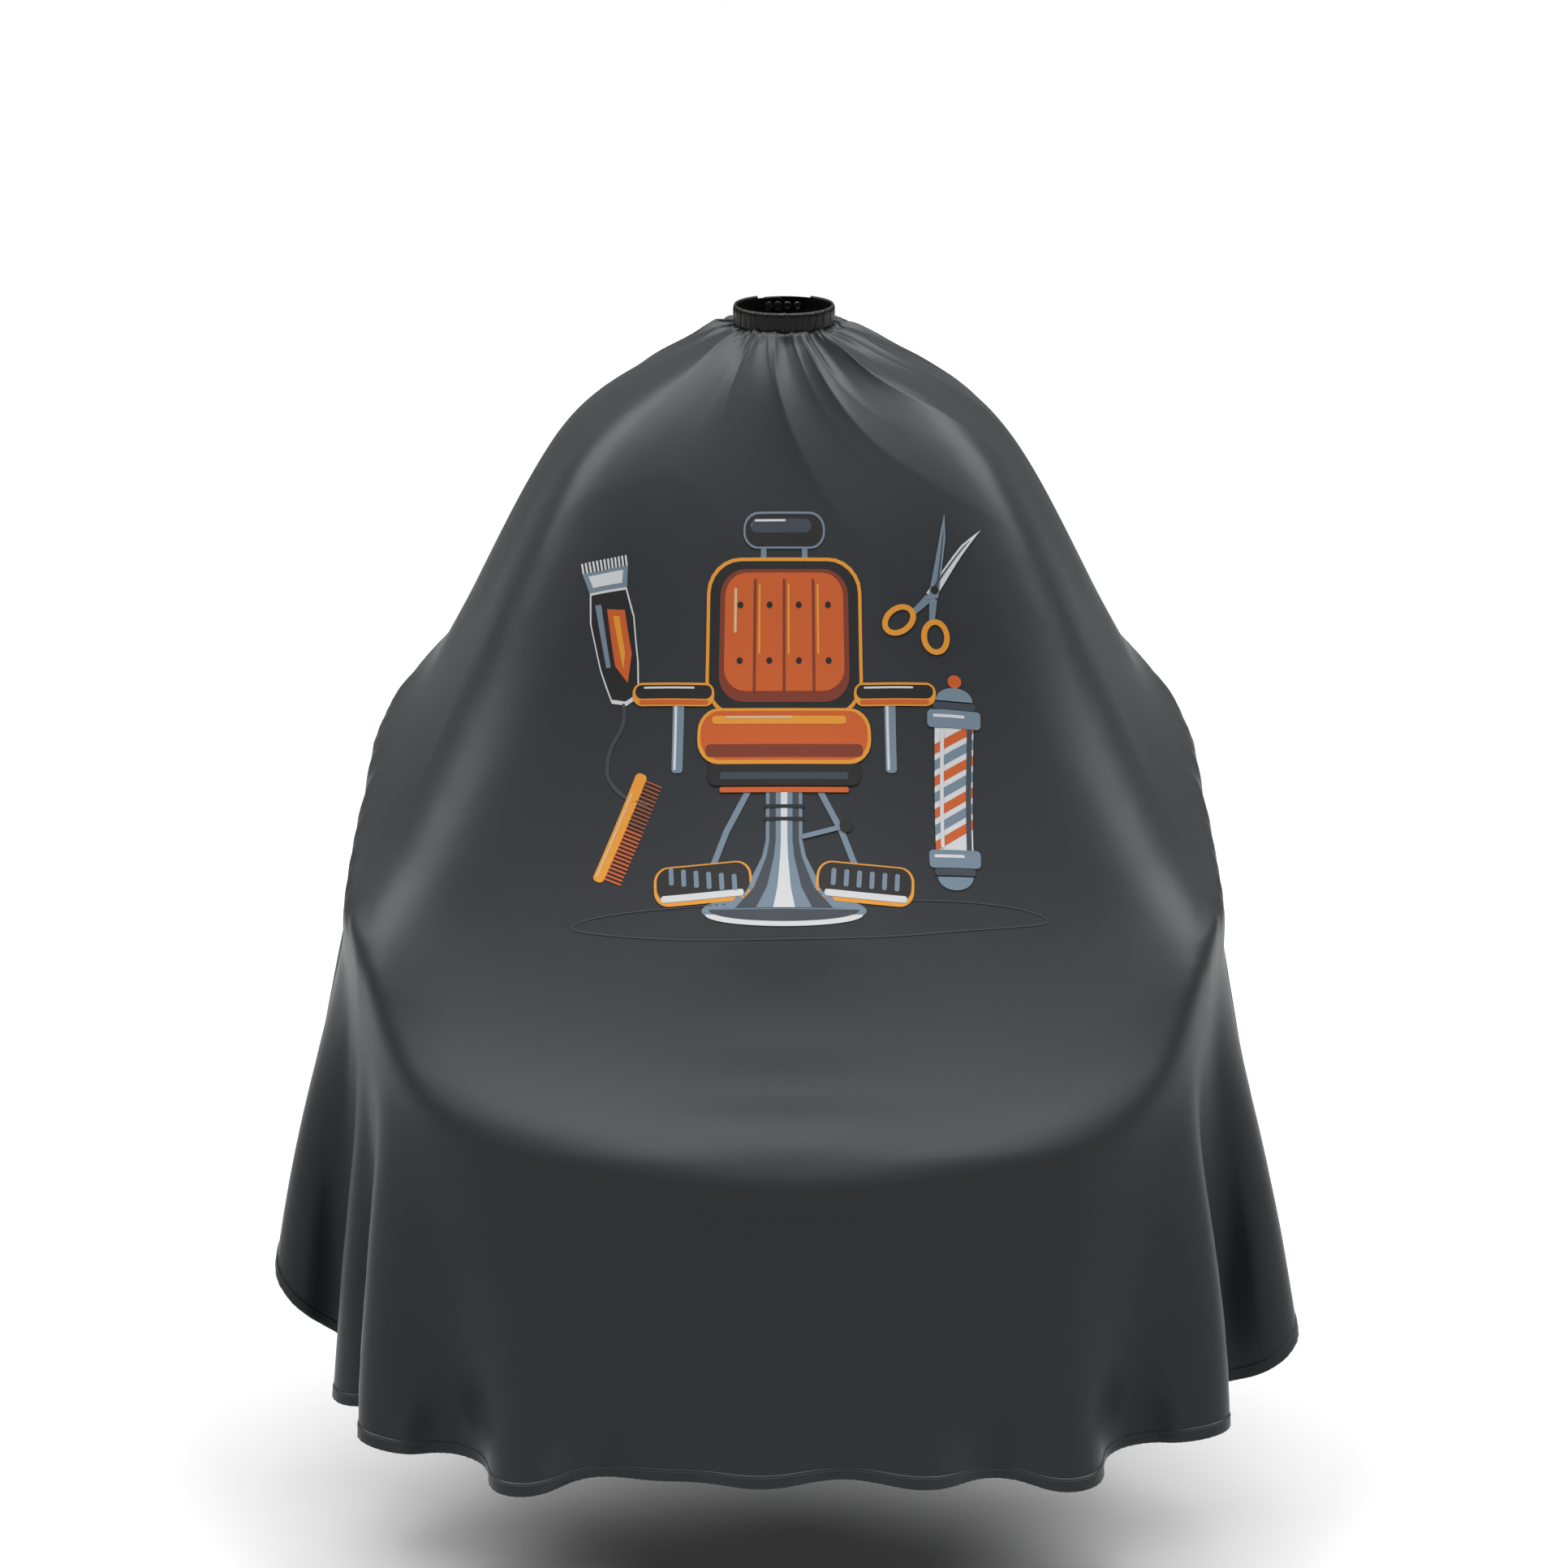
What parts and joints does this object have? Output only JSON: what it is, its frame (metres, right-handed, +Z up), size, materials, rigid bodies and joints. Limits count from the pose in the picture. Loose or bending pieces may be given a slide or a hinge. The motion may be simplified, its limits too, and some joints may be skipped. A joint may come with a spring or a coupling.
{
  "type": "barber cape",
  "caption": "Satin-look cape that hangs from a gathered elastic neckband over a seated customer, open behind, closed at the nape by an overlapping tab with press snaps.",
  "frame": {"origin": "centre of the neck opening at the seam between neckband and cape", "axes": "+Z up, -Y towards the front of the customer, +X towards the customer's left hand"},
  "size_m": [1.0582, 0.7565, 1.2637],
  "materials": {
    "cape_cloth": "satin",
    "hem_cloth": "satin",
    "band_cloth": "satin",
    "elastic": "matte",
    "piping": "gloss",
    "snap_plastic": "gloss"
  },
  "bodies": {
    "cape": {"cape_sheet": "cape_cloth", "hem_fold": "hem_cloth", "slit_hem_left": "hem_cloth", "slit_hem_right": "hem_cloth", "neckband_casing": "band_cloth", "neck_elastic": "elastic", "neck_piping": "piping", "stud_tab": "band_cloth", "snap_stud_1": "snap_plastic", "snap_stud_2": "snap_plastic", "stud_cap_1": "snap_plastic", "stud_cap_2": "snap_plastic"},
    "closure": {"closure_tab": "band_cloth", "snap_socket_1": "snap_plastic", "snap_socket_2": "snap_plastic", "snap_socket_3": "snap_plastic", "snap_socket_4": "snap_plastic", "socket_cap_1": "snap_plastic", "socket_cap_2": "snap_plastic", "socket_cap_3": "snap_plastic", "socket_cap_4": "snap_plastic"}
  },
  "joints": [
    {"name": "closure_tab_bend", "type": "hinge", "parent": "cape", "child": "closure", "pos_m": [0.03651, 0.04796, 0.00717], "axis": [0, 0.1478, -0.989], "range_deg": [0, 110]}
  ]
}
